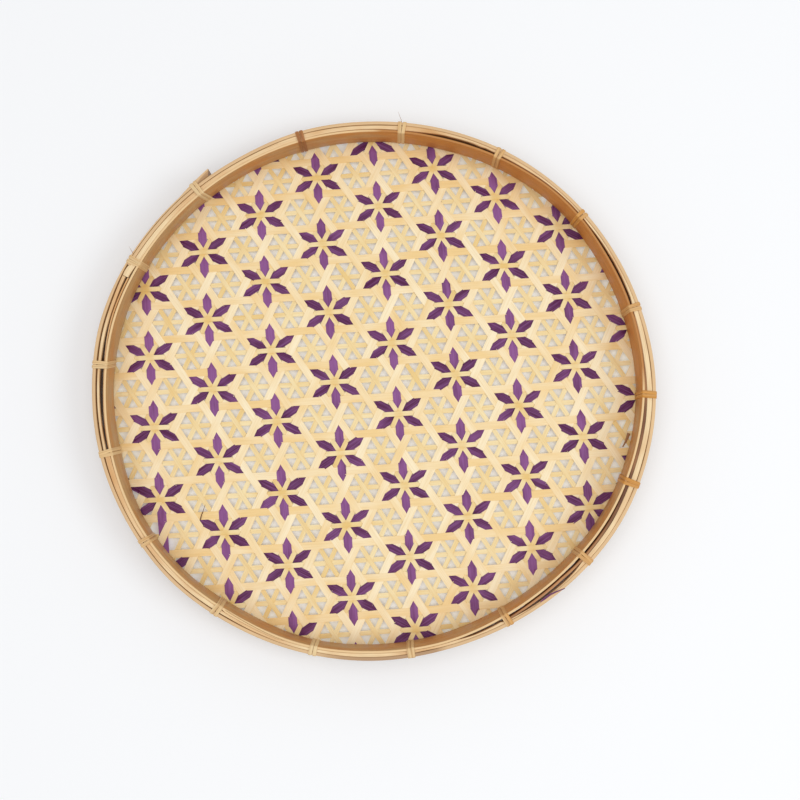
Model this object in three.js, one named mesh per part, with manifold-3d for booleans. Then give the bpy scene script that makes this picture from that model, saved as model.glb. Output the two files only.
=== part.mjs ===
// A round wall basket: a flat mat of open bamboo weave with six-petalled stars,
// its turned-up ends held between two lashed hoops.
// Millimetres, +Z up. The basket hangs with its open side towards -Y, and the wall is the plane y = 0.
// The origin is where the fold of the mat bears on the wall, at the top of the rim.

import * as THREE from 'three';
import * as BufferGeometryUtils from 'three/addons/utils/BufferGeometryUtils.js';
import Module from 'manifold-3d';

const wasm = await Module();
wasm.setup();

// Rim sizes
const outerWidth = 350;
const outerHeight = 339;
const rimDepth = 26;
const hoopThickness = 2.5;
const endsThickness = 1;
const seatGap = 0.3;
const rimFacets = 54;

// Scarf joints of the hoops. All angles round the rim are in degrees, anticlockwise from +X.
const innerScarfAngle = 250;
const innerScarfSweep = 14;
const outerScarfAngle = 127;
const outerScarfSweep = 38;
const scarfTip = 0.5;
const scarfStep = 1.2;
const outerEndLift = 1.4;

// Filler splints
const fillerDepth = 3.4;
const fillerButtGap = 0.6;
const thinFillerWidth = 0.8;
const brownStrandWidth = 0.55;
const fillerEndAngle = 154.5;
const thinFillerEndAngle = 193;
const strandStartAngle = -62;
const strandEndAngle = 66;

// Lashings
const lashWidth = 2.4;
const lashThickness = 0.6;
const lashTurnGap = 0.2;
const lashAngles = [
  17.1, 40.2, 62.4, 84, 105.9, 130.8, 151.8, 175.6, 195.2,
  215.6, 236.3, 257.8, 277.9, 298.9, 319.8, 338.5, 358,
];

// Weave sizes
const starSpacing = 45.3;
const weaveTurn = 4.46;
const starRight = 14.8;
const starUp = -15.6;
const splintThickness = 0.22;
const weaveGap = 0.05;
const wideWidth = 4.9;
const narrowWidth = 3.05;
const dyedWidth = 6.15;
const dyedNeckWidth = 0.9;

// Radii across the rim, from the inside out
const outerRadius = outerWidth / 2;
const longerRadius = Math.max(outerWidth, outerHeight) / 2;
const ovalness = outerHeight / outerWidth;
const outerHoopInside = outerRadius - hoopThickness;
const narrowEndsInside = outerHoopInside - seatGap - endsThickness;
const wideEndsInside = narrowEndsInside - seatGap - endsThickness;
const innerHoopOutside = wideEndsInside - seatGap;
const innerHoopInside = innerHoopOutside - hoopThickness;

// The plain strips run in three directions, and the dyed ones half way between them.
const directionStep = 180 / 3;
const plainAngles = { level: 0, rising: directionStep, falling: 2 * directionStep };
const dyedAngles = {
  rising: directionStep / 2,
  upright: directionStep * 3 / 2,
  falling: directionStep * 5 / 2,
};
const halfStep = THREE.MathUtils.degToRad(directionStep / 2);
const cosHalf = Math.cos(halfStep);
const sinHalf = Math.sin(halfStep);
const layer = splintThickness + weaveGap;

// The plain strips of a direction lie half a star spacing apart. They cross those of the other two
// directions in pairs, evenly along their length.
const plainSpacing = starSpacing / 2;
const crossingSpacing = plainSpacing / (2 * cosHalf);
const dyedSpacing = starSpacing * cosHalf;
const quarter = starSpacing / 4;

// Heights over the falling wide strips. The rising ones lie one layer over them, and the level wide
// strips do the weaving: over each rising strip and under each falling one.
const wideCorner = (wideWidth / 2) * (1 + sinHalf) / cosHalf;
const weavingSwing = 3 * layer / (1 - 2 * wideCorner / crossingSpacing);
const weavingTop = 2 * layer + weavingSwing * wideCorner / crossingSpacing;
const weavingBottom = weavingTop - weavingSwing;
const weavingSlope = weavingSwing / crossingSpacing;
const wideRise = { level: (weavingTop + weavingBottom) / 2, rising: layer, falling: 0 };

// The narrow strips lie behind everything, except that they come forward over each star's centre.
const narrowBack = {
  falling: weavingBottom - layer,
  rising: weavingBottom - 2 * layer,
  level: weavingBottom - 3 * layer,
};

// A dyed strip is nipped where it ducks under the others: under three narrow strips at a star's
// centre, and under two wide ones half way to the next star. Between them it lies over a wide strip.
const dyedNeck = dyedNeckWidth / 2;
const centreNeckReach = (narrowWidth / 2 + dyedNeck * cosHalf) / sinHalf;
const outerNeckReach = (wideWidth / 2 + dyedNeck * cosHalf) / sinHalf;
const wideEdge = quarter - wideWidth / 2;
const dyedFamilies = [
  {
    name: 'rising',
    angle: dyedAngles.rising,
    over: wideRise.falling,
    slope: 0,
    outerNeck: 0,
    centreNeck: -2 * layer,
  },
  {
    name: 'upright',
    angle: dyedAngles.upright,
    over: wideRise.level,
    slope: weavingSlope,
    outerNeck: -layer,
    centreNeck: -layer,
  },
  {
    name: 'falling',
    angle: dyedAngles.falling,
    over: wideRise.rising,
    slope: 0,
    outerNeck: weavingBottom - layer,
    centreNeck: 0,
  },
];

// A dyed strip climbs in a straight line from a neck to its top over the wide strip, and has to be
// clear of that strip at the strip's edge.
function petalTop(family) {
  const climbs = [[family.outerNeck, outerNeckReach], [family.centreNeck, centreNeckReach]];
  const tops = climbs.map(([neckRise, reach]) => {
    const share = (wideEdge - reach) / (quarter - reach);
    const halfWidth = dyedNeck + (dyedWidth / 2 - dyedNeck) * share;
    const clear = family.over + family.slope * halfWidth + layer;
    return neckRise + (clear - neckRise) / share;
  });
  return Math.max(...tops);
}

// The narrow strips' peaks over a star's centre: the falling one clears the dyed necks, and each of
// the others clears the peak of the one under it.
const narrowBase = crossingSpacing - wideWidth / 2 / cosHalf - narrowWidth / 2 * Math.tan(halfStep);
const neckCorner = centreNeckReach * cosHalf + dyedNeck * sinHalf;
const ridgeCorner = narrowWidth / 2 * cosHalf;

function peakClearing(rise, reach, back) {
  const share = reach / narrowBase;
  return (rise + layer - back * share) / (1 - share);
}

const topNeck = Math.max(...dyedFamilies.map((family) => family.centreNeck));
const narrowPeak = {};
narrowPeak.falling = peakClearing(topNeck, neckCorner, narrowBack.falling);
narrowPeak.rising = peakClearing(narrowPeak.falling, ridgeCorner, narrowBack.rising);
narrowPeak.level = peakClearing(narrowPeak.rising, ridgeCorner, narrowBack.level);

// Distances from the wall
const fallingHeight = splintThickness / 2 - narrowBack.level;
const highestStrip = Math.max(narrowPeak.level, ...dyedFamilies.map(petalTop));
const matTop = fallingHeight + highestStrip + splintThickness / 2;
const lashBack = matTop + seatGap;
const hoopBack = lashBack + lashThickness + seatGap;
const fillerBack = rimDepth - fillerDepth;
const endsFront = fillerBack - seatGap;
const wideEndsBack = weavingBottom + fallingHeight - splintThickness / 2;

// Points closer than the weld distance count as one, and a cutting solid reaches this far past its cut.
const weldDistance = 1e-5;
const cutMargin = 1;

const plainBamboo = new THREE.MeshStandardMaterial({ color: '#f2dfb0', roughness: 0.6, metalness: 0 });
const narrowBamboo = new THREE.MeshStandardMaterial({ color: '#ecd28c', roughness: 0.6, metalness: 0 });
const dyedBamboo = new THREE.MeshStandardMaterial({ color: '#5a2d78', roughness: 0.5, metalness: 0 });
const innerHoopBamboo = new THREE.MeshStandardMaterial({ color: '#c99d60', roughness: 0.5, metalness: 0 });
const outerHoopBamboo = new THREE.MeshStandardMaterial({ color: '#c29562', roughness: 0.55, metalness: 0 });
const fillerBamboo = new THREE.MeshStandardMaterial({ color: '#dfbb8a', roughness: 0.6, metalness: 0 });
const brownBamboo = new THREE.MeshStandardMaterial({ color: '#94683a', roughness: 0.6, metalness: 0 });
const splitCane = new THREE.MeshStandardMaterial({ color: '#cf9d5f', roughness: 0.45, metalness: 0 });

const basket = new THREE.Group();

function addMesh(name, geometry, material) {
  const mesh = new THREE.Mesh(geometry, material);
  mesh.name = name;
  basket.add(mesh);
}

// A closed solid through four-cornered sections, capped at its ends or closed into a ring.
function sweep(sections, ring = false) {
  const points = sections.flat();
  const faces = [];
  const spans = ring ? sections.length : sections.length - 1;
  for (let i = 0; i < spans; i += 1) {
    const near = 4 * i;
    const far = 4 * ((i + 1) % sections.length);
    for (let k = 0; k < 4; k += 1) {
      const next = (k + 1) % 4;
      faces.push(near + k, far + k, far + next, near + k, far + next, near + next);
    }
  }
  if (!ring) {
    const end = points.length - 4;
    faces.push(0, 1, 2, 0, 2, 3, end, end + 2, end + 1, end, end + 3, end + 2);
  }
  const geometry = new THREE.BufferGeometry().setFromPoints(points);
  geometry.setIndex(signedVolume(points, faces) < 0 ? faces.reverse() : faces);
  return geometry;
}

function signedVolume(points, faces) {
  let volume = 0;
  const normal = new THREE.Vector3();
  for (let i = 0; i < faces.length; i += 3) {
    normal.crossVectors(points[faces[i + 1]], points[faces[i + 2]]);
    volume += points[faces[i]].dot(normal) / 6;
  }
  return volume;
}

function toSolid(geometry) {
  const bare = geometry.clone();
  bare.deleteAttribute('normal');
  bare.deleteAttribute('uv');
  const merged = BufferGeometryUtils.mergeVertices(bare, weldDistance);
  const vertProperties = new Float32Array(merged.attributes.position.array);
  const triVerts = new Uint32Array(merged.index.array);
  return new wasm.Manifold(new wasm.Mesh({ numProp: 3, vertProperties, triVerts }));
}

function toGeometry(solid) {
  const { vertProperties, triVerts } = solid.getMesh();
  const geometry = new THREE.BufferGeometry();
  geometry.setAttribute('position', new THREE.BufferAttribute(vertProperties, 3));
  geometry.setIndex(new THREE.BufferAttribute(triVerts, 1));
  return geometry;
}

function join(solids) {
  return solids.reduce((all, solid) => all.add(solid));
}

// A point of the faceted oval rim, at an angle in degrees and a distance from the wall.
function rimPoint(radius, angle, height) {
  const facet = Math.floor(angle * rimFacets / 360);
  const corners = [facet, facet + 1].map((corner) => {
    const turn = 2 * Math.PI * corner / rimFacets;
    return new THREE.Vector3(radius * Math.cos(turn), -height, radius * ovalness * Math.sin(turn));
  });
  return corners[0].lerp(corners[1], angle * rimFacets / 360 - facet);
}

function rimSection(angle, inside, outside, back, front) {
  return [
    rimPoint(inside, angle, back),
    rimPoint(outside, angle, back),
    rimPoint(outside, angle, front),
    rimPoint(inside, angle, front),
  ];
}

// The facet corners between two angles, with both angles themselves.
function anglesBetween(start, end) {
  const step = 360 / rimFacets;
  const shortest = step / 20;
  const angles = [start];
  for (let angle = Math.ceil(start / step) * step; angle < end - shortest; angle += step) {
    if (angle > start + shortest) {
      angles.push(angle);
    }
  }
  return [...angles, end];
}

// How many degrees round the rim a length in millimetres takes.
function degreesFor(length) {
  return THREE.MathUtils.radToDeg(length / outerRadius);
}

function rimBand(start, end, inside, outside, back, front) {
  return sweep(anglesBetween(start, end).map((angle) => rimSection(angle, inside, outside, back, front)));
}

function fullRing(inside, outside, back, front) {
  const sections = [];
  for (let facet = 0; facet < rimFacets; facet += 1) {
    sections.push(rimSection(facet * 360 / rimFacets, inside, outside, back, front));
  }
  return sweep(sections, true);
}

// Inner hoop: both ends are thinned, and lap within the hoop's own thickness.
function innerHoop() {
  const lapEnd = innerScarfAngle + innerScarfSweep;
  const step = degreesFor(scarfStep);
  const growth = hoopThickness - seatGap - 2 * scarfTip;
  const sections = [];
  const bend = (start, end, insideAt, outsideAt) => {
    for (const angle of anglesBetween(start, end)) {
      sections.push(rimSection(angle, insideAt(angle), outsideAt(angle), hoopBack, rimDepth));
    }
  };
  const face = () => innerHoopInside;
  const back = () => innerHoopOutside;
  const underOutside = (angle) => {
    return innerHoopInside + scarfTip + growth * (angle - innerScarfAngle) / innerScarfSweep;
  };
  const overInside = (angle) => underOutside(angle - 360) + seatGap;
  bend(innerScarfAngle, lapEnd, face, underOutside);
  bend(lapEnd + step, 360 + innerScarfAngle - step, face, back);
  bend(360 + innerScarfAngle, 360 + lapEnd, overInside, back);
  return sweep(sections);
}

// Outer hoop: from its cut end, which lies over the other end and stands out a little, it runs
// anticlockwise all the way round and back under its own start, growing thinner there.
function outerLapRadii(angle) {
  const along = (outerScarfAngle + outerScarfSweep - angle) / outerScarfSweep;
  const under = outerHoopInside + scarfTip + (hoopThickness - scarfTip) * along;
  const overInside = under + seatGap;
  const fullOver = outerRadius - outerHoopInside - scarfTip - seatGap;
  const over = overInside + fullOver * (1 - along) + (scarfTip + outerEndLift) * along;
  return { under, overInside, over };
}

function outerHoop() {
  const lapEnd = outerScarfAngle + outerScarfSweep;
  const sections = anglesBetween(outerScarfAngle, lapEnd + 360).map((angle) => {
    let [inside, outside] = [outerHoopInside, outerRadius];
    if (angle <= lapEnd) {
      inside = outerLapRadii(angle).overInside;
      outside = outerLapRadii(angle).over;
    } else if (angle >= 360 + outerScarfAngle) {
      outside = outerLapRadii(angle - 360).under;
    }
    return rimSection(angle, inside, outside, hoopBack, rimDepth);
  });
  return sweep(sections);
}

function outerFaceAt(angle) {
  const inLap = angle >= outerScarfAngle && angle <= outerScarfAngle + outerScarfSweep;
  return inLap ? outerLapRadii(angle).over : outerRadius;
}

// A lashing: two turns of cane side by side round both hoops. Each turn goes up the inside, over the
// front, down the outside and back through the turned-up ends.
function lashing(angle) {
  const inside = innerHoopInside - seatGap;
  const outside = outerFaceAt(angle) + seatGap;
  const front = rimDepth + seatGap;
  const back = lashBack + lashThickness;
  const corners = [
    [inside, back, -1, -1],
    [inside, front, -1, 1],
    [outside, front, 1, 1],
    [outside, back, 1, -1],
  ];
  const sections = [];
  for (const turn of [-1, 1]) {
    const middle = turn * (lashWidth + lashTurnGap) / 2;
    for (const [radius, height, outwards, forwards] of corners) {
      const edges = [middle - lashWidth / 2, middle + lashWidth / 2].map((mm) => angle + degreesFor(mm));
      const skinRadius = radius + outwards * lashThickness;
      const skinHeight = height + forwards * lashThickness;
      sections.push([
        rimPoint(radius, edges[0], height),
        rimPoint(radius, edges[1], height),
        rimPoint(skinRadius, edges[1], skinHeight),
        rimPoint(skinRadius, edges[0], skinHeight),
      ]);
    }
  }
  return sweep(sections);
}

// The slot that a lashing needs through the turned-up ends.
function lashSlot(angle) {
  const halfWidth = lashWidth + lashTurnGap / 2 + seatGap;
  const [start, end] = [angle - degreesFor(halfWidth), angle + degreesFor(halfWidth)];
  const back = lashBack - seatGap;
  const front = lashBack + lashThickness + seatGap;
  return toSolid(rimBand(start, end, wideEndsInside - seatGap, outerHoopInside, back, front));
}

// A point of the weave: along and across a strip that runs at an angle past the star by the centre.
function weavePoint(angle, along, across, rise) {
  const turn = THREE.MathUtils.degToRad(angle + weaveTurn);
  const x = starRight + along * Math.cos(turn) - across * Math.sin(turn);
  const z = starUp + along * Math.sin(turn) + across * Math.cos(turn);
  return new THREE.Vector3(x, -(fallingHeight + rise), z);
}

// Where the basket's centre lies along and across strips of this angle.
function centreFrom(angle) {
  const turn = THREE.MathUtils.degToRad(angle + weaveTurn);
  return {
    along: -starRight * Math.cos(turn) - starUp * Math.sin(turn),
    across: starRight * Math.sin(turn) - starUp * Math.cos(turn),
  };
}

// The offsets of every strip of a family that crosses the basket, and how far each reaches.
function stripsOf(angle, spacing, shift, width) {
  const centre = centreFrom(angle);
  const turn = THREE.MathUtils.degToRad(angle + weaveTurn);
  const ovalReach = innerHoopInside * Math.hypot(Math.sin(turn), ovalness * Math.cos(turn));
  const strips = [];
  const first = Math.ceil((centre.across - ovalReach) / spacing - shift);
  const last = Math.floor((centre.across + ovalReach) / spacing - shift);
  for (let index = first; index <= last; index += 1) {
    const across = (index + shift) * spacing;
    const chord = Math.sqrt(longerRadius ** 2 - (across - centre.across) ** 2);
    if (Math.abs(across - centre.across) < ovalReach - width) {
      strips.push({ index, across, from: centre.along - chord, to: centre.along + chord });
    }
  }
  return strips;
}

// A strip through its stations: where along it, how far forward, and how wide there.
function stripSolid(angle, across, stations) {
  return toSolid(sweep(stations.map(({ along, rise, width }) => {
    const [back, front] = [rise - splintThickness / 2, rise + splintThickness / 2];
    return [
      weavePoint(angle, along, across - width / 2, back),
      weavePoint(angle, along, across + width / 2, back),
      weavePoint(angle, along, across + width / 2, front),
      weavePoint(angle, along, across - width / 2, front),
    ];
  })));
}

// The stations that cover a strip from one end to the other, with one beyond each end.
function coverStrip(strip, stations) {
  stations.sort((a, b) => a.along - b.along);
  const first = stations.findLastIndex((station) => station.along < strip.from);
  const last = stations.findIndex((station) => station.along > strip.to);
  return stations.slice(first, last + 1);
}

// Everything inside an oval of this radius, from the wall forward past the mat.
function insideOval(radius) {
  const sections = [-cutMargin, matTop + cutMargin].map((height) => {
    const points = [];
    for (let corner = 0; corner < rimFacets; corner += 1) {
      points.push(rimPoint(radius, corner * 360 / rimFacets, height));
    }
    return points;
  });
  const faces = [];
  for (let i = 0; i < rimFacets; i += 1) {
    const next = (i + 1) % rimFacets;
    faces.push(i, next, rimFacets + next, i, rimFacets + next, rimFacets + i);
    if (i > 1) {
      faces.push(0, i, i - 1, rimFacets, rimFacets + i - 1, rimFacets + i);
    }
  }
  const points = sections.flat();
  const geometry = new THREE.BufferGeometry().setFromPoints(points);
  geometry.setIndex(signedVolume(points, faces) < 0 ? faces.reverse() : faces);
  return toSolid(geometry);
}

// Where a strip crosses a strip of another family.
function crossingAlong(angle, across, otherAngle, otherAcross) {
  const turn = THREE.MathUtils.degToRad(otherAngle - angle);
  return (across * Math.cos(turn) - otherAcross) / Math.sin(turn);
}

function wideStrips() {
  const solids = [];
  for (const direction of ['rising', 'falling']) {
    const angle = plainAngles[direction];
    for (const strip of stripsOf(angle, plainSpacing, 0.5, wideWidth)) {
      const ends = [strip.from, strip.to];
      const stations = ends.map((along) => ({ along, rise: wideRise[direction], width: wideWidth }));
      solids.push(stripSolid(angle, strip.across, stations));
    }
  }
  const reach = Math.ceil(outerWidth / plainSpacing) + 1;
  for (const strip of stripsOf(plainAngles.level, plainSpacing, 0.5, wideWidth)) {
    const stations = [];
    for (let index = -reach; index < reach; index += 1) {
      const other = (index + 0.5) * plainSpacing;
      const overRising = crossingAlong(0, strip.across, plainAngles.rising, other);
      const underFalling = crossingAlong(0, strip.across, plainAngles.falling, other);
      stations.push({ along: overRising, rise: weavingTop, width: wideWidth });
      stations.push({ along: underFalling, rise: weavingBottom, width: wideWidth });
    }
    solids.push(stripSolid(plainAngles.level, strip.across, coverStrip(strip, stations)));
  }
  return join(solids);
}

function narrowStrips() {
  const solids = [];
  const starStep = 2 * cosHalf * starSpacing;
  const reach = Math.ceil(outerWidth / starStep);
  for (const [direction, angle] of Object.entries(plainAngles)) {
    const centre = centreFrom(angle);
    for (const strip of stripsOf(angle, plainSpacing, 0, narrowWidth)) {
      const ends = [strip.from, strip.to];
      const stations = ends.map((along) => ({ along, rise: narrowBack[direction], width: narrowWidth }));
      for (let index = -reach; index <= reach; index += 1) {
        const star = (index + (strip.index % 2 === 0 ? 0 : 0.5)) * starStep;
        const fromCentre = Math.hypot(star - centre.along, strip.across - centre.across);
        if (fromCentre + narrowBase < innerHoopInside * ovalness) {
          for (const side of [-1, 0, 1]) {
            const rise = side === 0 ? narrowPeak[direction] : narrowBack[direction];
            stations.push({ along: star + side * narrowBase, rise, width: narrowWidth });
          }
        }
      }
      stations.sort((a, b) => a.along - b.along);
      solids.push(stripSolid(angle, strip.across, stations));
    }
  }
  return join(solids);
}

// One dyed strip, petal after petal.
function dyedStrip(family, strip) {
  const top = petalTop(family);
  const stations = [];
  const reach = Math.ceil(outerWidth / starSpacing) + 1;
  for (let index = -reach; index <= reach; index += 1) {
    const star = (index + (strip.index % 2 === 0 ? 0 : 0.5)) * starSpacing;
    for (const side of [-1, 1]) {
      const neck = { along: star + side * centreNeckReach, rise: family.centreNeck, width: dyedNeckWidth };
      const petal = { along: star + side * quarter, rise: top, width: dyedWidth };
      const outer = star + side * (2 * quarter - outerNeckReach);
      stations.push(neck, petal, { along: outer, rise: family.outerNeck, width: dyedNeckWidth });
    }
  }
  return stripSolid(family.angle, strip.across, coverStrip(strip, stations));
}

const slots = join(lashAngles.map(lashSlot));
const wideEnds = toSolid(fullRing(wideEndsInside, wideEndsInside + endsThickness, wideEndsBack, endsFront));
const narrowEnds = toSolid(fullRing(narrowEndsInside, narrowEndsInside + endsThickness, 0, endsFront));
const wideMat = wideStrips().intersect(insideOval(wideEndsInside + endsThickness / 2));
const narrowMat = narrowStrips().intersect(insideOval(narrowEndsInside + endsThickness / 2));
addMesh('wide_weave', toGeometry(wideEnds.subtract(slots).add(wideMat)), plainBamboo);
addMesh('narrow_weave', toGeometry(narrowEnds.subtract(slots).add(narrowMat)), narrowBamboo);

const dyedTrim = insideOval(innerHoopOutside);
for (const family of dyedFamilies) {
  const strips = stripsOf(family.angle, dyedSpacing, 0, dyedWidth);
  strips.forEach((strip, index) => {
    const solid = dyedStrip(family, strip).intersect(dyedTrim);
    addMesh(`dyed_${family.name}_${index + 1}`, toGeometry(solid), dyedBamboo);
  });
}

addMesh('inner_hoop', innerHoop(), innerHoopBamboo);
addMesh('outer_hoop', outerHoop(), outerHoopBamboo);

// The fillers lie side by side in the channel between the hoops, over the turned-up ends.
const channelInside = innerHoopOutside + seatGap;
const channelOutside = outerHoopInside - seatGap;
const strandOutside = channelInside + brownStrandWidth;
const wideFillerInside = strandOutside + seatGap;
const buttAngle = degreesFor(fillerButtGap);
const wideAngles = [thinFillerEndAngle + buttAngle - 360, fillerEndAngle];
const thinAngles = [fillerEndAngle + buttAngle, thinFillerEndAngle];
const strandAngles = [strandStartAngle, strandEndAngle];

function addFiller(name, [start, end], [inside, outside], material) {
  addMesh(name, rimBand(start, end, inside, outside, fillerBack, rimDepth), material);
}

addFiller('filler_wide', wideAngles, [wideFillerInside, channelOutside], fillerBamboo);
addFiller('filler_thin_inner', thinAngles, [channelInside, channelInside + thinFillerWidth], fillerBamboo);
addFiller('filler_thin_outer', thinAngles, [channelOutside - thinFillerWidth, channelOutside], fillerBamboo);
addFiller('filler_brown_strand', strandAngles, [channelInside, strandOutside], brownBamboo);

lashAngles.forEach((angle, index) => addMesh(`lashing_${index + 1}`, lashing(angle), splitCane));

const topOfRim = 90;
const wallSeat = rimPoint(narrowEndsInside + endsThickness / 2, topOfRim, 0);
basket.position.z = -wallSeat.z;

export default basket;
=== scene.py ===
# %% [markdown]
# # A hanging wall basket of split bamboo
#
# The basket is a shallow round tray, 350 mm across and 26 mm deep. Its bottom is an open mat of
# bamboo strips, plain and dyed violet, in which the dyed ones show as six-petalled stars. The strips'
# ends turn up at the rim, where two bamboo bands hold them, bound with split cane.
#
# The measured model comes from CAD and gives every place and size. Each piece is made again here as
# the real one is: a strip that bends over and under its neighbours, a band that isn't quite round.

# %% Load the measured model
import math

import bpy
import numpy as np
from mathutils import Matrix, Vector


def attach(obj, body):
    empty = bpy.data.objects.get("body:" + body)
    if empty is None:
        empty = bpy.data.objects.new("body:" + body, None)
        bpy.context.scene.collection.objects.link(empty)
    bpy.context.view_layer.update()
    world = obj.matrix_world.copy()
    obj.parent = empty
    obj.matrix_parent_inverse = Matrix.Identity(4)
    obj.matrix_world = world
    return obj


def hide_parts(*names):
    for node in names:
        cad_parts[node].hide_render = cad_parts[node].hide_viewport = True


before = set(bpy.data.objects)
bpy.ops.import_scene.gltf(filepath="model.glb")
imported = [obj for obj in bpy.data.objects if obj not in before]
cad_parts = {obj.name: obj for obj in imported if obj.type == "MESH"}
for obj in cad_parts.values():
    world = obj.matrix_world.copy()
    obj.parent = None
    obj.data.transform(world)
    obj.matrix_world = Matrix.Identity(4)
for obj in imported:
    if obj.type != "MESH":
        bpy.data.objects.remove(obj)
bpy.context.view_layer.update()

# %% [markdown]
# ## Camera
#
# The photograph is taken from in front, from 63 mm under the basket's middle and 5 degrees upwards. The
# camera's place, 640 mm away, comes from a fit to the rim's ellipses and to the lattice of the stars.
# That doesn't settle the lens: a longer one further off, with a deeper rim, fits about as well. A 45 mm
# lens on a 36 mm sensor goes with the rim of 26 mm, and the square frame needs no shift.

# %% Camera
camera_data = bpy.data.cameras.new("camera")
camera_data.lens = 45
camera_data.sensor_width = 36
camera = bpy.data.objects.new("camera", camera_data)
bpy.context.scene.collection.objects.link(camera)
bpy.context.scene.camera = camera

to_right = Vector((0.99999, 0.004468, 0))
to_top = Vector((0.000389, -0.087155, 0.996195))
to_back = to_right.cross(to_top)
camera_turn = Matrix((to_right, to_top, to_back)).transposed().to_4x4()
camera.matrix_world = Matrix.Translation((0.019453, -0.642331, -0.229362)) @ camera_turn
print("camera looks along", [round(value, 3) for value in -to_back])

# %% [markdown]
# ## Places in the basket
#
# All sizes below are in millimetres, measured to the right and up from the basket's centre and out
# from the wall. One function takes them to the frame that the CAD model uses, in metres. The rim is
# slightly less high than wide, so heights on it are shortened by the same share.

# %% From millimetres in the basket to metres in the frame
OVALNESS = 339 / 350
RIM_TOP = 166.0224


def to_frame(points):
    right, up, out = np.asarray(points, dtype=float).reshape(-1, 3).T
    return np.column_stack((right, -out, up - RIM_TOP)) / 1000


def make_piece(name, points, faces, material, grain, tone, sharp=35):
    """A closed mesh that rides with the basket.

    Its grain holds millimetres along and across, and a number that differs from piece to piece. Its
    tone goes from 0, the palest, to 1, the deepest.
    """
    mesh = bpy.data.meshes.new(name)
    mesh.from_pydata(to_frame(points).tolist(), [], [list(map(int, face)) for face in faces])
    mesh.shade_smooth()
    mesh.set_sharp_from_angle(angle=math.radians(sharp))
    layer = mesh.attributes.new("grain", "FLOAT_VECTOR", "POINT")
    layer.data.foreach_set("vector", np.asarray(grain, dtype=float).ravel())
    layer = mesh.attributes.new("tone", "FLOAT", "POINT")
    layer.data.foreach_set("value", np.asarray(tone, dtype=float).ravel())
    mesh.materials.append(material)
    piece = bpy.data.objects.new(name, mesh)
    bpy.context.scene.collection.objects.link(piece)
    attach(piece, "root")
    return piece


# %% [markdown]
# ## Bamboo finishes
#
# Bamboo is split along its fibres, so its grain is fine straight lines that run the whole length of
# a strip, a fraction of a millimetre apart. A photograph would bring them as an image; here they are
# drawn from noise that is stretched along each strip, because every mesh keeps, at every point, how
# far along and across its strip the point lies. A third number differs from strip to strip, so no two
# strips look the same, and a tone says how pale or deep the bamboo is at that point.

# %% Colours and nodes
def linear(hex_colour):
    """An sRGB hex colour as the linear colour that the shaders take."""
    shares = [int(hex_colour[i:i + 2], 16) / 255 for i in (1, 3, 5)]
    return tuple(s / 12.92 if s <= 0.04045 else ((s + 0.055) / 1.055) ** 2.4 for s in shares) + (1,)


def add_node(material, kind, inputs=None, **settings):
    """Adds a node, sets it, and fills its inputs with values or with links from other nodes."""
    node = material.node_tree.nodes.new(kind)
    for setting, value in settings.items():
        setattr(node, setting, value)
    for socket, value in (inputs or {}).items():
        if isinstance(value, bpy.types.NodeSocket):
            material.node_tree.links.new(value, node.inputs[socket])
        else:
            node.inputs[socket].default_value = value
    return node


# A Mix node's colour sockets have the same names as its number sockets, so they go by their place.
MIX_A, MIX_B, MIX_OUT = 6, 7, 2


# %% Bamboo along its fibres
def bamboo(name, pale, deep, fibre_and_sheen, fibre_mm=0.5, fibre_and_sheen_share=0.5, patch_mm=35, patch_share=0.5,
           roughness=0.5, bump=0.5, gloss=0.5):
    """Bamboo between a pale and a deep tone, with fibre lines of a real width, and soft patches. The lines
    are darker fibres, but on dyed bamboo they are lighter: painted sheen.
    """
    material = bpy.data.materials.new(name)
    material.use_nodes = True
    shader = material.node_tree.nodes["Principled BSDF"]
    grain = add_node(material, "ShaderNodeAttribute", attribute_name="grain").outputs["Vector"]
    own_tone = add_node(material, "ShaderNodeAttribute", attribute_name="tone").outputs["Fac"]

    # Fibres are some 40 times as long as they are wide.
    along_fibres = add_node(material, "ShaderNodeVectorMath", {
        0: grain, 1: (1 / (40 * fibre_mm), 1 / fibre_mm, 37),
    }, operation="MULTIPLY").outputs[0]
    fibres = add_node(material, "ShaderNodeTexNoise", {
        "Vector": along_fibres, "Scale": 1, "Detail": 3, "Roughness": 0.6,
    }).outputs["Fac"]
    # The lines take the third colour: darker grain on most bamboo, and painted sheen on the dyed bamboo,
    # where that colour is lighter.
    fibre_and_sheen_lines = add_node(material, "ShaderNodeMapRange", {
        "Value": fibres, "From Min": 0.42, "From Max": 0.72, "To Min": 0, "To Max": fibre_and_sheen_share,
    }).outputs[0]

    # Patches are where the splitting knife took more or less of the paler inner wood.
    over_patches = add_node(material, "ShaderNodeVectorMath", {
        0: grain, 1: (1 / patch_mm, 3 / patch_mm, 11),
    }, operation="MULTIPLY").outputs[0]
    patches = add_node(material, "ShaderNodeTexNoise", {
        "Vector": over_patches, "Scale": 1, "Detail": 2,
    }).outputs["Fac"]
    spread = add_node(material, "ShaderNodeMapRange", {
        "Value": patches, "From Min": 0.3, "From Max": 0.7,
        "To Min": -patch_share, "To Max": patch_share,
    }).outputs[0]
    tone = add_node(material, "ShaderNodeMath", {0: own_tone, 1: spread}, use_clamp=True).outputs[0]

    wood = add_node(material, "ShaderNodeMix", {
        "Factor": tone, MIX_A: linear(pale), MIX_B: linear(deep),
    }, data_type="RGBA").outputs[MIX_OUT]
    colour = add_node(material, "ShaderNodeMix", {
        "Factor": fibre_and_sheen_lines, MIX_A: wood, MIX_B: linear(fibre_and_sheen),
    }, data_type="RGBA").outputs[MIX_OUT]
    relief = add_node(material, "ShaderNodeBump", {
        "Strength": bump, "Distance": 0.00006, "Height": fibres,
    }).outputs[0]
    material.node_tree.links.new(colour, shader.inputs["Base Color"])
    material.node_tree.links.new(relief, shader.inputs["Normal"])
    shader.inputs["Roughness"].default_value = roughness
    shader.inputs["Specular IOR Level"].default_value = gloss
    return material
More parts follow.
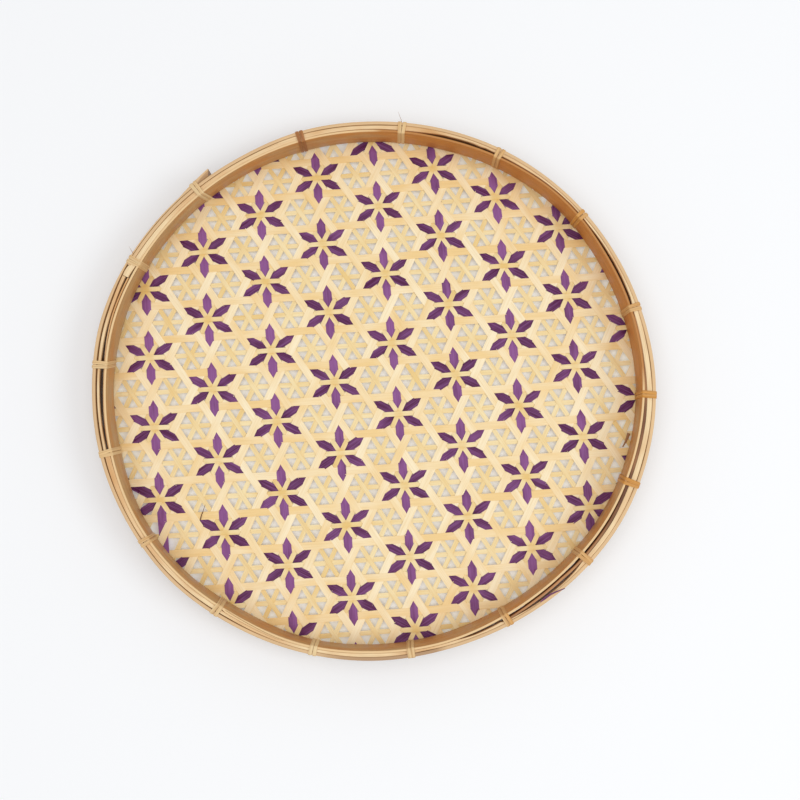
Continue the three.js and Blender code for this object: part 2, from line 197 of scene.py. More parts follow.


# %% [markdown]
# The plain strips are peeled inner bamboo: a pale cream wood with a satin face. The narrow ones are
# a little yellower. The dyed ones are soaked in a violet dye, and their smooth face keeps a silky
# gloss; the lighter lines along their fibres are painted sheen. The bands of the rim are thicker: the
# inner one shaved and tan, the outer one with its skin on, which is smoother. The lashings are split
# cane.

# %% The basket's own finishes
peeled_bamboo = bamboo("peeled bamboo strip", "#fdecc6", "#f4d190", "#dfb975", fibre_and_sheen_share=0.4)
yellow_bamboo = bamboo("yellow bamboo strip", "#f6e1ae", "#ebc679", "#d9ab58", fibre_and_sheen_share=0.35)
# Its fibre colour is lighter than the dyed wood: these lines are painted sheen along the strips.
dyed_bamboo = bamboo("violet dyed bamboo", "#894f89", "#510c43", "#a56fb0", fibre_mm=0.6,
                     fibre_and_sheen_share=0.4, patch_mm=20, patch_share=0.4, roughness=0.6, gloss=0.34)
shaved_bamboo = bamboo("shaved bamboo band", "#c9a573", "#cf883d", "#a06128", fibre_mm=0.6,
                       fibre_and_sheen_share=0.6, patch_mm=30, patch_share=0.45, roughness=0.5, gloss=0.3)
skin_bamboo = bamboo("bamboo band with its skin", "#d8ae7a", "#a87e54", "#8a6236", fibre_mm=0.6,
                     fibre_and_sheen_share=0.5, patch_mm=40, patch_share=0.3, roughness=0.45)
filler_bamboo = bamboo("raw bamboo filler", "#f6dcae", "#d9a468", "#bd8a52", fibre_mm=0.5,
                       fibre_and_sheen_share=0.45, patch_mm=30, roughness=0.6)
brown_bamboo = bamboo("brown bamboo splint", "#c48c58", "#663a1e", "#4d2b13", fibre_mm=0.4,
                      fibre_and_sheen_share=0.5, roughness=0.6)
split_cane = bamboo("split cane", "#edd3a2", "#d3913a", "#9c5c26", fibre_mm=0.6, fibre_and_sheen_share=0.55,
                    patch_mm=12, patch_share=0.25, roughness=0.55, gloss=0.25)
dark_cane = bamboo("dark split cane", "#c18245", "#84471a", "#5d3414", fibre_mm=0.6, fibre_and_sheen_share=0.5,
                   patch_mm=6, patch_share=0.5, roughness=0.55)
print("finishes:", len(bpy.data.materials))


# %% The front edge of a band
# Metres in front of the wall between which the face of a band turns into its front edge.
EDGE_STARTS, EDGE_FULL = 0.0254, 0.0257


def front_edge(material, cut_colour, worn_colour, share=0.85):
    """Mixes in the wood along a band's front: pale where freshly cut, brown where its tone is deep."""
    shader = material.node_tree.nodes["Principled BSDF"]
    face_colour = shader.inputs["Base Color"].links[0].from_socket
    place = add_node(material, "ShaderNodeTexCoord").outputs["Object"]
    depth = add_node(material, "ShaderNodeSeparateXYZ", {0: place}).outputs["Y"]
    at_front = add_node(material, "ShaderNodeMapRange", {
        "Value": depth, "From Min": -EDGE_STARTS, "From Max": -EDGE_FULL,
        "To Min": 0, "To Max": share,
    }).outputs[0]
    deep = add_node(material, "ShaderNodeAttribute", attribute_name="tone").outputs["Fac"]
    worn = add_node(material, "ShaderNodeMapRange", {
        "Value": deep, "From Min": 0.7, "From Max": 0.9, "To Min": 0, "To Max": 1,
    }).outputs[0]
    edge_colour = add_node(material, "ShaderNodeMix", {
        "Factor": worn, MIX_A: linear(cut_colour), MIX_B: linear(worn_colour),
    }, data_type="RGBA").outputs[MIX_OUT]
    colour = add_node(material, "ShaderNodeMix", {
        "Factor": at_front, MIX_A: face_colour, MIX_B: edge_colour,
    }, data_type="RGBA").outputs[MIX_OUT]
    material.node_tree.links.new(colour, shader.inputs["Base Color"])


front_edge(shaved_bamboo, "#f0cf9c", "#bd8349")
front_edge(skin_bamboo, "#ecc896", "#a98260", share=0.6)

# %% [markdown]
# ## The lattice of the mat
#
# Plain strips run in three directions, 60 degrees apart, and the dyed ones half way between them. A
# star stands where three narrow strips and three dyed ones meet. Everything follows from the star
# spacing of 45.3 mm: plain strips lie half of it apart, dyed strips at 0.866 of it. One star stands
# 14.8 mm to the right of the centre and 15.6 mm under it, and the lattice is turned by 4.46 degrees.
#
# A mat that is woven by hand is never quite regular. Its rows drift by a few millimetres towards the
# rim, so every point of the weave is moved by a slow bend. The bend's numbers were fitted to the stars'
# places in the photograph by least squares, with a separate measuring program, and then rounded.

# %% Points of the weave
STAR_SPACING = 45.3
STAR_RIGHT, STAR_UP = 14.8, -15.6
TURN = math.radians(4.46)
ROW = STAR_SPACING / 2
COS30 = math.cos(math.pi / 6)
CROSSING = ROW / COS30
LAYER = 0.265
SPLINT = 0.24
MAT_BACK = 0.12
DRIFT_REACH = 170


def lattice_point(angle, along, across):
    """Right and up of a point along and across a strip of this angle, in the regular lattice."""
    turn = math.radians(angle) + TURN
    right = STAR_RIGHT + along * math.cos(turn) - across * math.sin(turn)
    up = STAR_UP + along * math.sin(turn) + across * math.cos(turn)
    return right, up


def drift(right, up):
    """Where a point of the regular lattice lies in the mat as it was woven."""
    x, y = right / DRIFT_REACH, up / DRIFT_REACH
    moved_right = 0.6 - 0.4 * x - 2.3 * y - 1.05 * x * x - 1.35 * y * y - 4.6 * x * y * y
    moved_up = -2.8 * x + 2.2 * y + 0.7 * x * x + 0.4 * x * y - 1.2 * y * y - 2.2 * y ** 3 \
        + 3.9 * x * y * y - 1.6 * x * x * y
    return right + moved_right, up + moved_up


def in_weave(angle, right, up):
    """The other way round: along and across for a point of the regular lattice."""
    turn = math.radians(angle) + TURN
    x, y = right - STAR_RIGHT, up - STAR_UP
    return x * math.cos(turn) + y * math.sin(turn), y * math.cos(turn) - x * math.sin(turn)


def ease(start, end, value):
    """0 before start, 1 after end, and a smooth bend between."""
    share = np.clip((value - start) / (end - start), 0, 1)
    return share * share * (3 - 2 * share)


def from_nearest(value, period, shift=0.0):
    """How far a value is from the nearest of the marks that lie a period apart."""
    return np.abs((value - shift + period / 2) % period - period / 2)


# %% [markdown]
# ## How high each strip runs
#
# A strip of split bamboo is a stiff ribbon, about a quarter of a millimetre thick. It lies flat over
# a crossing and bends between two of them, so its height is worked out from which strips it passes
# over and under. A cloth simulation would find these bends too, slowly and with strips that slip. A
# formula for each family keeps every crossing right and costs nothing.
#
# The wide strips take turns: each lies over the family 60 degrees on and under the other one. The
# narrow ones run behind everything, except where they come forward over a star's centre. The dyed
# ones duck under the narrow strips at the star and under two wide ones half way to the next star. In
# between they lie over a wide strip, which is where a petal shows.

# %% Heights of the plain strips
NARROW_TOP = {0: 5.0, 60: 4.0, 120: 3.0}
NARROW_IN_HEXAGON = {0: 0.0, 60: 1.0, 120: 2.0}
STAR_STEP = 2 * COS30 * STAR_SPACING
# From the middle of a crossing, a wide strip stays up for the first distance and is down by the second.
STAYS_UP, IS_DOWN = 4.3, 8.8


def wide_height(along, offset):
    """Layers over the mat's back for a wide strip: 3 where it is over another, 2 where it is under."""
    over = (offset / 2 - ROW / 2) / COS30
    return 3 - ease(STAYS_UP, IS_DOWN, from_nearest(along, CROSSING, over))


def narrow_height(angle, along, index):
    """Layers over the mat's back for a narrow strip, by the distance from the nearest star."""
    star = from_nearest(along, STAR_STEP, (index % 2) * STAR_STEP / 2)
    top, middle = NARROW_TOP[angle], NARROW_IN_HEXAGON[angle]
    marks = [0, 2.9, 5, 6.8, 9.6, 11.6, 17.5, 23.4, 29.3, 35.5, 40]
    levels = [top, top, 3.6, 3.6, 1, 0, 0, middle, middle, 0, 0]
    return np.interp(star, marks, levels)


def at_star_centre(along, index):
    """1 at the middle of a star and 0 on its arms. There the narrow strips are painted deeper and
    yellower: painted light, for light that shines through the thin strips.
    """
    return 1 - ease(1.5, 4, from_nearest(along, STAR_STEP, (index % 2) * STAR_STEP / 2))


# %% Heights of the dyed strips
DYED_AT_STAR = {30: 0.0, 90: 1.0, 150: 2.0}
WIDE_HALF, NARROW_HALF = 2.45, 1.53
TUCK = 0.2
# From a star's middle, in mm: where a dyed strip climbs from under the narrow strips, where it ducks
# under two wide ones, and up to and from where its neighbours hold its edges down.
CLIMB, DUCK = (3.4, 8.3), (13.9, 17.6)
NEAR_STAR, FAR_FROM_STAR = 9, 10.5
# How steeply its edges may rise beside a narrow strip, along it past the star's arms, and beside a
# wide strip.
NARROW_SLOPE, ARM_SLOPE, WIDE_SLOPE = 1.2, 0.5, 1.4
ARM_LENGTH = 7.2


def nearest_row(across, shift):
    return (np.round(across / ROW - shift) + shift) * ROW


def dyed_height(angle, along, across, index):
    """Layers over the mat's back for a dyed strip that tucks its edges under its neighbours."""
    right, up = lattice_point(angle, along, across)
    to_star = from_nearest(along, STAR_SPACING, (index % 2) * STAR_SPACING / 2)

    under_along, under_across = in_weave((angle + 90) % 180, right, up)
    under_row = nearest_row(under_across, 0.5)
    under = wide_height(under_along, under_row)
    on_wide = np.abs(under_across - under_row) < WIDE_HALF + 0.1
    at_star = DYED_AT_STAR[angle]
    height = at_star + (under + 1 - at_star) * ease(*CLIMB, to_star)
    height = height + (1 - height) * ease(*DUCK, to_star)

    for neighbour in ((angle - 30) % 180, (angle + 30) % 180):
        beside_along, beside_across = in_weave(neighbour, right, up)
        row = nearest_row(beside_across, 0)
        count = np.round(row / ROW)
        inward = np.maximum(np.abs(beside_across - row) - NARROW_HALF - TUCK, 0)
        star = from_nearest(beside_along, STAR_STEP, (count % 2) * STAR_STEP / 2)
        rise = NARROW_SLOPE * inward + ARM_SLOPE * np.maximum(star - ARM_LENGTH, 0)
        ceiling = narrow_height(neighbour, beside_along, count) - 1 + rise / LAYER
        height = np.where((to_star < NEAR_STAR) & ~on_wide, np.minimum(height, ceiling), height)

        row = nearest_row(beside_across, 0.5)
        beside = wide_height(beside_along, row)
        inward = np.maximum(np.abs(beside_across - row) - WIDE_HALF - TUCK, 0)
        room = np.where(on_wide, np.where(beside > under + 0.3, 0.5, -9), 1)
        ceiling = beside - room + WIDE_SLOPE * inward / LAYER
        height = np.where(to_star > FAR_FROM_STAR, np.minimum(height, ceiling), height)
    return np.maximum(height, 0)


# %% [markdown]
# ## Laying a strip
#
# A strip is a closed ribbon: a grid of points for its face, the same grid a splint's thickness behind
# it, and walls round the edge. At the rim it folds up between the two bands. The fold follows the
# rim's curve, and a strip that meets the rim at a slant leans over as it turns up, as a folded ribbon
# of paper does. Hand-split strips are never quite straight or even, so each wanders a little.

# %% Sizes that follow the rim
def around(values, angle):
    """A size that is given at 24 places, 15 degrees apart, on a smooth curve between them."""
    values = np.asarray(values)
    place = np.asarray(angle) % 360 / 15
    count = np.floor(place).astype(int)
    share = place - count
    before, here, after, later = (values[(count + step) % 24] for step in (-1, 0, 1, 2))
    return here + share / 2 * (after - before + share * (
        2 * before - 5 * here + 4 * after - later + share * (3 * (here - after) + later - before)))


# The rim's borders were read in an unrolled photograph. A separate measuring program took the
# readings through the camera's place to the millimetres here, and some were changed afterwards.
# Inside of the inner band where it stands on the mat, from 0 degrees, at the right, round by the top.
INNER_FOOT = (168.0, 167.8, 168.5, 170.2, 169.9, 168.6, 168.2, 168.3, 168.2, 168.2, 168.2, 168.0,
              167.6, 167.2, 169.2, 169.0, 166.9, 167.9, 166.8, 165.5, 164.0, 164.5, 166.3, 167.3)
# And at its front edge: the band leans a little in or out.
INNER_FACE = (166.9, 167.1, 167.6, 169.3, 168.3, 166.8, 166.6, 166.5, 165.9, 165.7, 166.0, 166.6,
              165.8, 166.6, 168.0, 168.2, 167.3, 168.2, 167.3, 167.0, 165.5, 165.2, 166.3, 166.4)
BANDS_BACK, BANDS_FRONT = 2.2, 26.0
MEAN_FOOT = 168.3

# %% A strip with its turned-up ends
# The ends stop well behind the front of the bands, so that the gaps beside the fillers look dark.
ENDS_FRONT = 18.0
RISES = (0.3, 1.2, 4, 9, 14, ENDS_FRONT)
# No end is followed further than this along its strip, however much the strip slants.
LONGEST_WALK, LONGEST_LAST_WALK = 36, 37
BEYOND_RIM = 190
chance = np.random.default_rng(7)


def ribbon_faces(rows, lanes, start):
    face = start + np.arange(rows * lanes).reshape(rows, lanes)
    back = face + rows * lanes
    quads = [
        (face[:-1, :-1], face[1:, :-1], face[1:, 1:], face[:-1, 1:]),
        (back[:-1, :-1], back[:-1, 1:], back[1:, 1:], back[1:, :-1]),
        (back[:-1, 0], back[1:, 0], face[1:, 0], face[:-1, 0]),
        (back[1:, -1], back[:-1, -1], face[:-1, -1], face[1:, -1]),
        (back[0, 1:], back[0, :-1], face[0, :-1], face[0, 1:]),
        (back[-1, :-1], back[-1, 1:], face[-1, 1:], face[-1, :-1]),
    ]
    return np.concatenate([np.stack([c.ravel() for c in quad], axis=1) for quad in quads])


def rim_share(right, up, out=0.0):
    """How much further out than on a true circle the inner band lies at this height, as a share."""
    angle = np.degrees(np.arctan2(up, right))
    height = np.clip((out - BANDS_BACK) / (BANDS_FRONT - BANDS_BACK), 0, 1)
    foot = around(INNER_FOOT, angle)
    return (foot + height * (around(INNER_FACE, angle) - foot)) / MEAN_FOOT


def to_circle(angle, along, across):
    """A point of the woven mat, with the uneven oval rim stretched to a circle."""
    right, up = drift(*lattice_point(angle, along, across))
    up = up / OVALNESS
    share = rim_share(right, up)
    return right / share, up / share


def rim_crossings(angle, across, fold):
    """How far along a strip each of its lanes meets the fold, on both sides, by halving steps."""
    middle = in_weave(angle, 0.0, 0.0)[0]
    found = []
    for side in (-1, 1):
        near, far = np.full_like(across, middle), np.full_like(across, middle + BEYOND_RIM * side)
        for _ in range(30):
            half_way = (near + far) / 2
            inside = np.hypot(*to_circle(angle, half_way, across)) < fold
            near, far = np.where(inside, half_way, near), np.where(inside, far, half_way)
        found.append(near)
    return found


def turned_up_end(angle, side, along, across, out, fold):
    """Rows that stand up between the bands, leaning over where the strip meets the rim at a slant."""
    here = np.stack(to_circle(angle, along, across))
    ahead = np.stack(to_circle(angle, along + 0.1 * side, across)) - here
    ahead /= np.hypot(*ahead)
    outward = here / np.hypot(*here)
    lean = np.clip((ahead * outward).sum(axis=0), 0.15, 1)
    slide = ahead[1] * outward[0] - ahead[0] * outward[1]
    place = np.arctan2(here[1], here[0])
    fronts, backs, walks = [], [], []
    for rise in RISES:
        walk = np.minimum(rise / lean, LONGEST_WALK)
        if rise == ENDS_FRONT:
            walk = np.minimum((rise - out) / lean, LONGEST_LAST_WALK)
        where = place + walk * slide / fold
        for rows, reach in ((fronts, fold), (backs, fold + SPLINT)):
            rows.append(np.stack((reach * np.cos(where), reach * np.sin(where),
                                  out + walk * lean), axis=-1))
        walks.append(along + side * walk)
    order = slice(None, None, side)
    return [np.stack(rows[order]) for rows in (fronts, backs, walks)]


def lay_strip(angle, offset, width, layers_at, tone_at, fold, step, lanes, crown):
    """Face points, back points, grain and tone of one strip that crosses the basket."""
    lane = np.linspace(-0.5, 0.5, lanes) * width
    start, end = rim_crossings(angle, offset + lane, fold)
    share = np.linspace(-1, 1, int((end - start).max() / step))[:, None]
    along = (start + end) / 2 + share * (end - start) / 2
    phases = chance.uniform(0, 2 * math.pi, 4)
    steady = 1 - share ** 8
    wander = 0.12 * np.sin(along / 19 + phases[0]) + 0.08 * np.sin(along / 7.3 + phases[1])
    breadth = 0.02 * np.sin(along / 11 + phases[2]) + 0.015 * np.sin(along / 3.9 + phases[3])
    across = offset + lane * (1 + steady * breadth) + steady * wander
    out = MAT_BACK + SPLINT + LAYER * layers_at(along, offset + lane + 0 * along)
    out = out - crown * (2 * lane / width) ** 2 * steady
    face = np.stack((*to_circle(angle, along, across), out), axis=-1)
    low = turned_up_end(angle, -1, along[0], offset + lane, out[0], fold)
    high = turned_up_end(angle, 1, along[-1], offset + lane, out[-1], fold)
    face, back, along = (np.concatenate(part) for part in
                         zip(low, (face, face - (0, 0, SPLINT), along), high))
    for part in (face, back):
        part[..., :2] *= rim_share(part[..., 0], part[..., 1], part[..., 2])[..., None]
        part[..., 1] *= OVALNESS
    grain = np.stack((along, lane + 0 * along, chance.uniform() + 0 * along), axis=-1)
    return face, back, grain, tone_at(along) + 0 * along


# A strip is laid where its whole width would cross a circle of this radius.
WEAVE_RADIUS = 167.1


def offsets_of(angle, spacing, shift, width):
    """The strips of a family that cross the basket inside the inner band."""
    across = in_weave(angle, 0.0, 0.0)[1]
    turn = math.radians(angle) + TURN
    reach = WEAVE_RADIUS * math.hypot(math.sin(turn), OVALNESS * math.cos(turn))
    indices = range(math.ceil((across - reach) / spacing - shift),
                    math.floor((across + reach) / spacing - shift) + 1)
    return [(i, (i + shift) * spacing) for i in indices
            if abs((i + shift) * spacing - across) < reach - width]


def make_strips(name, strips, material):
    points, faces, grains, tones, start = [], [], [], [], 0
    for face, back, grain, tone in strips:
        rows, lanes = face.shape[:2]
        faces.append(ribbon_faces(rows, lanes, start))
        points += [face.reshape(-1, 3), back.reshape(-1, 3)]
        grains += [grain.reshape(-1, 3)] * 2
        tones += [tone.ravel()] * 2
        start += 2 * rows * lanes
    return make_piece(name, np.concatenate(points), np.concatenate(faces), material,
                      np.concatenate(grains), np.concatenate(tones))


# %% Lay the plain strips
# The level strips are painted a little deeper in tone than the slanting ones: painted shade, for how the
# light falls on each direction.
DIRECTIONS = {0: ("level", 0.55, 0.95), 60: ("rising", 0.05, 0.45), 120: ("falling", 0.15, 0.55)}
WIDE_WIDTH, NARROW_WIDTH = 4.8, 3
# Each direction folds a little further out at the rim than the one before it.
WIDE_FOLD, NARROW_FOLD, FOLD_STEP = 169.95, 171.2, 0.27
wide_pieces, narrow_pieces = [], []
for place, (angle, (direction, palest, deepest)) in enumerate(DIRECTIONS.items()):
    wide = []
    for _, offset in offsets_of(angle, ROW, 0.5, WIDE_WIDTH):
        tone = chance.uniform(palest, deepest)
        wide.append(lay_strip(
            angle, offset, WIDE_WIDTH, lambda along, across: wide_height(along, offset),
            lambda along: tone, WIDE_FOLD + FOLD_STEP * place, step=1.5, lanes=5, crown=0.05))
    wide_pieces.append(make_strips(f"wide_strips_{direction}", wide, peeled_bamboo))
    narrow = []
    for index, offset in offsets_of(angle, ROW, 0, NARROW_WIDTH):
        tone = chance.uniform(0.05, 0.5)
        narrow.append(lay_strip(
            angle, offset, NARROW_WIDTH, lambda along, across: narrow_height(angle, along, index),
            # At a star's middle the tone is deepened: painted light, standing in for light that shines
            # through the thin strips.
            lambda along: tone + 0.55 * at_star_centre(along, index),
            NARROW_FOLD + FOLD_STEP * place, step=1.3, lanes=4, crown=0.04))
    narrow_pieces.append(make_strips(f"narrow_strips_{direction}", narrow, yellow_bamboo))
    print(direction, len(wide), "wide strips,", len(narrow), "narrow strips")
for piece in wide_pieces:
    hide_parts("wide_weave")
for piece in narrow_pieces:
    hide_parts("narrow_weave")

# %% Lay the dyed strips
# The upright strips are painted paler than the slanting ones: painted sheen, which fibres running upright
# catch from the light.
DYED_DIRECTIONS = {30: ("rising", 0.7, 1.0), 90: ("upright", 0.0, 0.3), 150: ("falling", 0.8, 1.1)}
DYED_NARROWEST, DYED_WIDEST, DYED_FOLD = 4.9, 5.7, 171.05
for angle, (direction, palest, deepest) in DYED_DIRECTIONS.items():
    for count, (index, offset) in enumerate(offsets_of(angle, STAR_SPACING * COS30, 0, 5.4), 1):
        tone = chance.uniform(palest, deepest)
        strip = lay_strip(
            angle, offset, chance.uniform(DYED_NARROWEST, DYED_WIDEST),
            lambda along, across: dyed_height(angle, along, across, index), lambda along: tone,
            DYED_FOLD, step=0.75, lanes=11, crown=0.1)
        piece = make_strips(f"violet_strip_{direction}_{count}", [strip], dyed_bamboo)
        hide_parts(f"dyed_{direction}_{count}")
    print("violet strips", direction, count)

# %% [markdown]
# ## The two bands of the rim
#
# Each band is a long split of bamboo bent into a ring by hand. It is never a true circle, so its
# radius is given every 15 degrees, measured as said above. The inner one is 1.4 mm thick at its front
# edge and leans in or out a little, and the outer one is 2.1 mm thick. A lathe-turned ring would be
# simpler, but it would lose the laps, the rim's uneven width and the cut end that springs out at the
# upper left.

# %% Radii and sections
INNER_BAND, OUTER_BAND = 1.4, 2.1
RIM_MIDDLE = 172
OUTER_FACE = (175.1, 174.1, 174.0, 174.5, 174.7, 174.2, 173.5, 173.4, 172.0, 172.3, 173.0, 175.3,
              174.5, 174.4, 174.3, 174.9, 173.9, 173.6, 173.3, 172.3, 172.7, 173.9, 175.3, 175.4)


def rim_points(angles, sections):
    """Points at distances and depths (r, z) per station, or per point, on the oval rim."""
    turn = np.radians(angles).reshape(len(angles), -1)
    reach, depth = sections[..., 0], sections[..., 1]
    return np.stack((reach * np.cos(turn), reach * OVALNESS * np.sin(turn), depth), axis=-1)


def rounded_section(inside, outside, back, front, corner=0.35, steps=3):
    """A rectangle with rounded corners, as (r, z) points that go round it."""
    corner = min(corner, (outside - inside) / 2 - 0.02)
    bends = np.radians(np.linspace(0, 90, steps))
    loop = []
    for r, z, start in ((outside, front, 0), (inside, front, 90), (inside, back, 180),
                        (outside, back, 270)):
        middle_r = r + (-corner if r is outside else corner)
        middle_z = z + (-corner if z is front else corner)
        for bend in bends + math.radians(start):
            loop.append((middle_r + corner * math.cos(bend), middle_z + corner * math.sin(bend)))
    return loop


def sweep_faces(stations, around_section, closed=False):
    grid = np.arange(stations * around_section).reshape(stations, around_section)
    ahead = np.roll(grid, -1, axis=0) if closed else grid[1:]
    here = grid if closed else grid[:-1]
    quads = np.stack((here, ahead, np.roll(ahead, -1, axis=1), np.roll(here, -1, axis=1)), axis=-1)
    faces = [list(quad) for quad in quads.reshape(-1, 4)]
    if not closed:
        faces += [list(grid[0]), list(grid[-1][::-1])]
    return faces


def band_piece(name, angles, sections, material, tone_at, places=None):
    """A bent band through its sections, with its grain along the bend."""
    sections = np.asarray(sections)
    points = rim_points(np.asarray(angles) if places is None else places, sections)
    along = np.radians(np.asarray(angles))[:, None] * RIM_MIDDLE + 0 * sections[..., 0]
    grain = np.stack((along, sections[..., 0] + sections[..., 1], chance.uniform() + 0 * along), axis=-1)
    tone = np.asarray([tone_at(angle) for angle in angles])[:, None] + 0 * along
    return make_piece(name, points.reshape(-1, 3), sweep_faces(*sections.shape[:2]), material,
                      grain.reshape(-1, 3), tone)


# %% Inner band
INNER_LAP, INNER_LAP_SWEEP = 237.0, 14.0
# The ends are thinned to the first size, and the end that lies over is lifted by the second.
THIN_END, LAP_LIFT = 0.5, 0.65


def marks_at(angle, marks):
    """A size from marks of (angle, size) round the rim, straight between two of them."""
    places, sizes = zip(*marks)
    return float(np.interp(angle, places, sizes, period=360))


def inner_band_tone(angle):
    """Deep orange brown on the right, brown up to the front edge at the upper right, tan elsewhere."""
    return marks_at(angle, ((0, 0.75), (15, 1.3), (60, 1.5), (82, 1.4), (90, 0.75), (115, 0.45),
                            (150, 0.15), (230, 0.2), (262, 0.45), (330, 0.5), (355, 0.55)))


def inner_band_section(angle):
    face = float(around(INNER_FACE, angle))
    lean = (float(around(INNER_FOOT, angle)) - face) / (BANDS_FRONT - BANDS_BACK)
    lap = (angle - INNER_LAP) / INNER_LAP_SWEEP
    over = lap - 360 / INNER_LAP_SWEEP
    inside, outside = face, face + INNER_BAND
    if lap < 1:
        outside = face + THIN_END + (INNER_BAND - THIN_END) * lap
    if over > 0:
        inside = face + LAP_LIFT + (INNER_BAND - THIN_END) * over
        outside = inside + INNER_BAND - (INNER_BAND - THIN_END) * over
    section = rounded_section(inside, outside, BANDS_BACK, BANDS_FRONT)
    return [(r + lean * (BANDS_FRONT - z), z) for r, z in section]


inner_angles = np.arange(INNER_LAP, INNER_LAP + 360 + INNER_LAP_SWEEP + 0.01, 1)
inner_band = band_piece("inner_band", inner_angles, [inner_band_section(a) for a in inner_angles],
                        shaved_bamboo, inner_band_tone)
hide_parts("inner_hoop")

# %% Outer band
# One end lies over the other from 126 to 165 degrees. It was thinned there, and its tip springs out
# by 3.4 mm and shows its slanted cut.
OUTER_LAP, UNDER_END, OUTER_LAP_END = 126.4, 153.0, 165.0
LAP_GAP, LAPPED_THICKNESS = 0.25, 0.9
TIP_LIFT, TIP_SWEEP = 3.4, 8.6
# The cut lowers the tip's front by this many mm, and slants it by this many degrees, over its sweep.
CUT_DEPTH, CUT_SLANT, CUT_SWEEP = 2, 1.1, 5


def lapped_end(angle):
    """Inside and outside of the end that lies over the other one."""
    share = float(ease(150, OUTER_LAP_END, angle))
    inside = float(around(OUTER_FACE, angle)) + LAP_GAP * (1 - share) - OUTER_BAND * share
    outside = inside + LAPPED_THICKNESS + (OUTER_BAND - LAPPED_THICKNESS) * share
    return inside, outside + TIP_LIFT * max(0, 1 - (angle - OUTER_LAP) / TIP_SWEEP)


def outer_band_section(angle):
    if angle < OUTER_LAP_END:
        inside, outside = lapped_end(angle)
        cut = CUT_DEPTH * max(0, 1 - (angle - OUTER_LAP) / CUT_SWEEP)
        section = rounded_section(inside, outside, BANDS_BACK, BANDS_FRONT)
        return [(r, z - cut * (outside - r) / (outside - inside) * (z > 14)) for r, z in section]
    outside = float(around(OUTER_FACE, angle))
    return rounded_section(outside - OUTER_BAND, outside, BANDS_BACK, BANDS_FRONT)


def outer_band_tone(angle):
    """The outer band is greyer and darker at the bottom and at its cut end."""
    return marks_at(angle, ((0, 0.2), (115, 0.4), (126, 0.6), (132, 0.5), (160, 0.5),
                            (190, 0.7), (250, 0.5), (264, 0.85), (283, 0.85), (290, 0.4), (320, 0.2)))


outer_angles = np.concatenate((np.arange(OUTER_LAP, 136, 0.6),
                               np.arange(136, UNDER_END + 360.01, 1)))
outer_sections = np.asarray([outer_band_section(a) for a in outer_angles])
from_outside = outer_sections[..., 0].max(axis=1, keepdims=True) - outer_sections[..., 0]
near_cut = np.clip(1 - (outer_angles - OUTER_LAP) / CUT_SWEEP, 0, 1)[:, None]
slanted_cut = CUT_SLANT * near_cut * from_outside / from_outside.max(axis=1, keepdims=True)
outer_band = band_piece("outer_band", outer_angles, outer_sections, skin_bamboo,
                        outer_band_tone, outer_angles[:, None] + slanted_cut)
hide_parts("outer_hoop")
print("bands bent through", len(inner_angles), "and", len(outer_angles), "sections")

# %% [markdown]
# ## Fillers
#
# Thin splints lie in the channel between the bands and cover the cut ends of the strips. One wide
# splint goes nearly all the way round. On the left, where it stops, two thin ones take its place with
# a dark gap between them, and on the right a brown strand lies beside it. They fill the channel
# unevenly, and the gaps that they leave draw the dark lines along the rim. Each gap's width was judged
# in the photograph, where it opens and closes.

# %% Gaps between the layers of the rim
GAP_AT_INNER_BAND = ((0, 0.1), (17, 0.1), (19, 1.2), (28, 1.2), (34, 0.9), (38, 0.3), (58, 0.3),
                     (63, 0.8), (69, 2.2), (75, 2.0), (80, 0.9), (84, 0.4), (89, 0.5),
                     (100, 0.4), (106, 0.1), (151, 0.1), (154, 0.7), (165, 0.6), (172, 0.3),
                     (194, 0.4), (200, 0.12), (285, 0.1),
                     (288, 0.3), (291, 1.3), (296, 1.6), (302, 1.4), (306, 1.1), (313, 1.1),
                     (317, 1.5), (323, 1.2), (329, 1.0), (334, 0.6), (339, 0.3), (344, 0.12))
GAP_BESIDE_STRAND = ((300, 0.1), (302, 0.5), (306, 1.5), (313, 1.8), (316, 1.3), (319, 0.1),
                     (326, 0.1), (329, 0.3), (334, 0.1))
GAP_AT_OUTER_BAND = ((3, 0.35), (9, 0.35), (13, 0.05), (83, 0.05), (87, 0.5), (100, 0.3),
                     (108, 0.1), (115, 0.35), (125, 0.25), (151, 0.2), (156, 0.7), (162, 0.9), (192, 0.9),
                     (198, 0.6), (203, 0.35), (209, 0.2), (226, 0.35), (239, 0.55), (249, 0.05),
                     (277, 0.05), (281, 0.3), (284, 0.05), (332, 0.05), (344, 0.45), (351, 0.25),
                     (359, 0.15))
STRAND_WIDTH = ((298, 1.1), (306, 1.4), (344, 1.7), (352, 1.8), (359, 1.3), (5, 0.5), (66, 0.4))
STRAND_START, STRAND_END = 298.0, 426.0


def channel(angle):
    """Where the fillers may lie: outside the inner band and inside the outer one."""
    in_lap = INNER_LAP < angle % 360 < INNER_LAP + INNER_LAP_SWEEP
    inside = float(around(INNER_FACE, angle)) + INNER_BAND + (LAP_LIFT if in_lap else 0)
    outside = float(around(OUTER_FACE, angle)) - OUTER_BAND
    if 150 < angle % 360 < OUTER_LAP_END:
        outside += (lapped_end(angle % 360)[0] - outside) * float(ease(151, 154.5, angle % 360))
    return inside + marks_at(angle, GAP_AT_INNER_BAND), outside - marks_at(angle, GAP_AT_OUTER_BAND)


# %% Wide filler and brown strand
FILLER_FRONT, FILLER_BACK, DEEP_BACK = 25.6, 22.9, 18.3
FILLER_CORNER, THINNEST_FILLER = 0.3, 0.25
WIDE_START, WIDE_END = 194.5, 155.5 + 360


